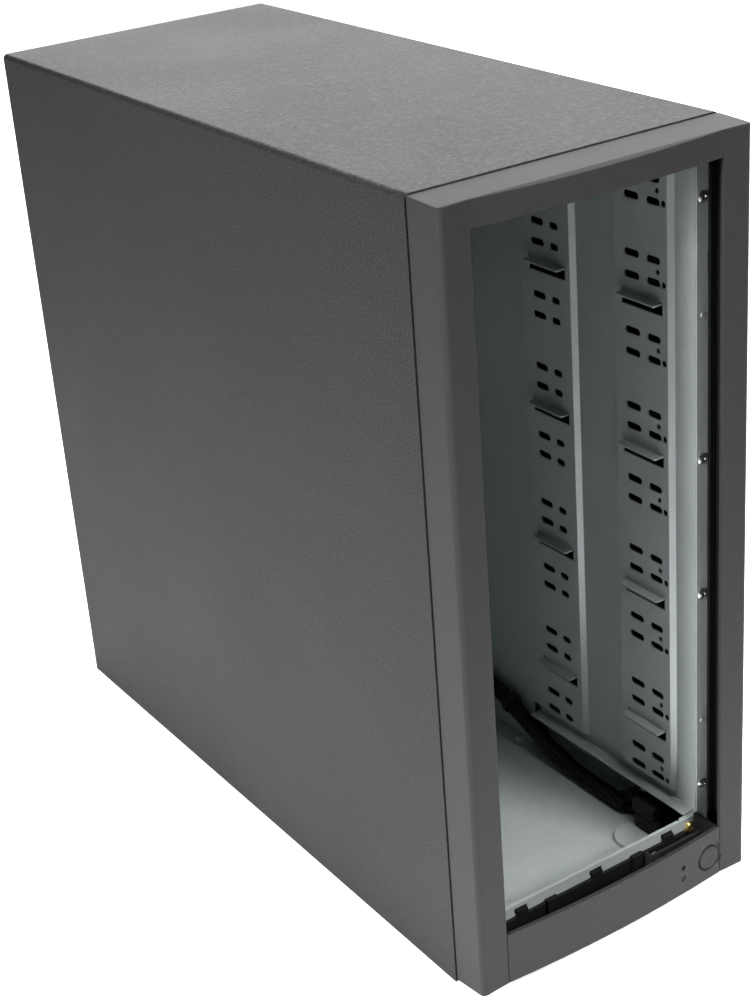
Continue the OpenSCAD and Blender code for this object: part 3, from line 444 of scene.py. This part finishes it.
dress(small_metal("rivet_aluminium", (0.78, 0.79, 0.80), (0.66, 0.67, 0.68), 0.22),
      "frame_rivets", "chassis_rivets")
dress(small_metal("bright_zinc", (0.66, 0.68, 0.71), (0.55, 0.57, 0.60), 0.24),
      "cage_foot_screws", "psu_screws", "psu_fan_screws", "rear_fan_screws", "carrier_screws")
dress(small_metal("yellow_zinc", (0.78, 0.55, 0.16), (0.62, 0.60, 0.25), 0.25), "frame_screws")
dress(small_metal("bright_wire", (0.72, 0.73, 0.75), (0.62, 0.63, 0.65), 0.14),
      "psu_fan_guard", "rear_fan_guard")
dress(small_metal("black_oxide", (0.035, 0.035, 0.036), (0.06, 0.06, 0.06), 0.35), "cover_thumbscrews")
print("small metals:", [m.name for m in bpy.data.materials if m.name.split("_")[0] in ("bright", "yellow")])

# %% [markdown]
# ## Rubber, leads and lamps
# The feet and the cable guard are dull rubber. The leads are sleeved in a fine braid. Both lamps are smoked
# plastic, unlit, and the supply's rocker is red.

# %% Rubber, leads and lamps
dress(moulded("foot_rubber", (0.012, 0.012, 0.012), (0.022, 0.022, 0.022), 0.62, 0.0001),
      "rubber_feet", "psu_grommet")
dress(moulded("lead_sleeve", (0.008, 0.008, 0.009), (0.02, 0.02, 0.021), 0.45, 0.0003),
      "power_loom", "panel_leads")
dress(moulded("green_lens", (0.003, 0.006, 0.004), (0.006, 0.011, 0.007), 0.3, 0.00001), "power_led")
dress(moulded("smoke_lens", (0.026, 0.025, 0.025), (0.04, 0.038, 0.038), 0.35, 0.00001), "drive_led")
dress(moulded("red_rocker", (0.32, 0.018, 0.014), (0.38, 0.026, 0.02), 0.3, 0.00002), "psu_rocker")
print("lamps:", worn["power_led"].data.materials[0].name, worn["drive_led"].data.materials[0].name)

# %% [markdown]
# ## The loom's route
# The loom comes out of the supply, drops down the right side and lies along the floor to two plugs. Its solid
# is one smooth tube with two tails, and these are the same points, each an x, a depth behind the bezel's corner
# and a height in millimetres. A curve through them keeps the bends soft.

# %% The route of the loom
LOOM = [(55, 307, 350), (55, 296, 350), (56, 288, 344), (58, 284, 330), (61, 282, 290), (64, 280, 230),
        (67, 277, 170), (69, 272, 110), (70, 264, 72), (70.2, 250, 54), (70.2, 232, 46), (70.2, 212, 40.5),
        (70.2, 192, 36), (70.2, 178, 31), (70.5, 166, 26.4), (70.8, 153, 21.4), (71, 139, 17),
        (71.3, 124, 14), (71.4, 110, 13.2), (71.4, 96, 13.1), (71.4, 85, 13.1), (71.6, 76, 13.4)]
TAILS = [[(71.4, 79, 11.6), (72, 73, 12.4), (74, 68.6, 14), (75.5, 65, 14.5), (75.5, 61, 14.5)],
         [(71.8, 79, 15.6), (72.4, 75, 18.6), (74.4, 71, 22.2), (76, 67.6, 23.4), (76, 64, 23.4)]]
STEPS = 6


def smooth(route):
    """Points along a smooth curve through the route's points, in metres in the row frame."""
    fixed = [Vector((x, d + CORNER_Y, z)) * MM for x, d, z in route]
    fixed = [2 * fixed[0] - fixed[1], *fixed, 2 * fixed[-1] - fixed[-2]]
    points = []
    for a, b, c, d in zip(fixed, fixed[1:], fixed[2:], fixed[3:]):
        for k in range(STEPS):
            u = k / STEPS
            points.append(0.5 * (2 * b + (c - a) * u + (2 * a - 5 * b + 4 * c - d) * u ** 2
                                 + (3 * b - a - 3 * c + d) * u ** 3))
    return [*points, fixed[-2]]


path = smooth(LOOM)
print("loom length in mm:", round(sum((b - a).length for a, b in zip(path, path[1:])) / MM))

# %% [markdown]
# ## Wires of the loom
# The real loom is a bundle of separate wires that twist slowly round each other, so each wire is drawn as its
# own curve beside the same route. A frame is carried along the route, and every wire keeps its place in the
# bundle while that frame turns.

# %% Wires of the loom
def frames_along(path):
    """Two directions across the path at each of its points, turned no more than the path itself turns."""
    last = len(path) - 1
    ahead = [(path[min(i + 1, last)] - path[max(i - 1, 0)]).normalized() for i in range(last + 1)]
    side = ahead[0].orthogonal().normalized()
    frames = []
    for direction in ahead:
        side = (side - direction * side.dot(direction)).normalized()
        frames.append((side, direction.cross(side)))
    return frames


def bundle(curve, route, around, core, ring, radius, twist):
    """Adds a ring of wires to a curve, and a straight one in the middle if there is a core. Sizes are in
    millimetres, and the twist is in radians from one point to the next."""
    path = smooth(route)
    frames = frames_along(path)
    for k in range(around + core):
        spline = curve.splines.new("POLY")
        spline.points.add(len(path) - 1)
        out = 0 if k == around else ring
        for i, (place, (u, v)) in enumerate(zip(path, frames)):
            angle = 2 * math.pi * k / around + twist * i
            spot = place + (u * math.cos(angle) + v * math.sin(angle)) * out * MM
            spline.points[i].co = (*spot, 1)
            spline.points[i].radius = radius


wires = bpy.data.curves.new("loom_wires", "CURVE")
wires.dimensions = "3D"
wires.bevel_depth = MM
wires.bevel_resolution = 2
wires.use_fill_caps = True
bundle(wires, LOOM, around=8, core=1, ring=3.55, radius=1.38, twist=0.09)
for tail in TAILS:
    bundle(wires, tail, around=4, core=0, ring=1.25, radius=0.88, twist=0.05)
wires.materials.append(moulded("wire_cover", (0.006, 0.006, 0.006), (0.012, 0.012, 0.0125), 0.36, 0.00003))
loom = linked("loom_wires", wires)
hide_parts("power_loom")
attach(loom, "case")
print("wires:", len(wires.splines), "splines")

# %% [markdown]
# ## Pale floor with painted light
# The floor is a matt white sheet whose emission is painted light: it glows a little to keep it white and to light
# the case from below. The glow is dimmed close round the case as a painted shadow, and it fades far out, so the
# case's sides darken upwards.

# %% Pale floor with painted light
CASE_REACH_X, CASE_REACH_Y = 0.08, 0.215
LEFT_END, FRONT_END = 0.29, 0.31


def painted_glow_floor():
    sheet = Finish("painted_glow_floor", Emission_Strength=1.32)
    clouds = sheet.noise(1.5, 3, 0.5)
    x, y = sheet.axes(sheet.place, "XY")
    gap = x.math("MAXIMUM", x.math("ABSOLUTE", x) - CASE_REACH_X, y.math("ABSOLUTE", y) - CASE_REACH_Y)
    away = x.math("MAXIMUM", -1 * x - LEFT_END, -1 * y - FRONT_END)
    # Painted light: the glow fades from white to grey far from the case, which darkens the sides upwards.
    painted_floor_glow = sheet.mixed(gap.above(0.25, 0.9), (1.0, 1.0, 1.0), (0.8, 0.8, 0.8))
    # Painted darkness: beyond the part in view the glow drops nearly to black.
    painted_floor_glow = sheet.mixed(away.above(0.0, 0.25), painted_floor_glow, (0.06, 0.06, 0.06))
    # Painted shadow: the glow is dimmed to dark grey right round the case's foot.
    painted_floor_glow = sheet.mixed(gap.above(0.0, 0.05), (0.3, 0.3, 0.31), painted_floor_glow)
    return sheet.wear(Base_Color=sheet.mixed(clouds, (0.86, 0.865, 0.87), (0.90, 0.90, 0.90)),
                      Roughness=0.7 + clouds * 0.1, Emission_Color=painted_floor_glow)


floor.data.materials.append(painted_glow_floor())
print("floor finish:", floor.data.materials[0].name)

# %% [markdown]
# ## The end
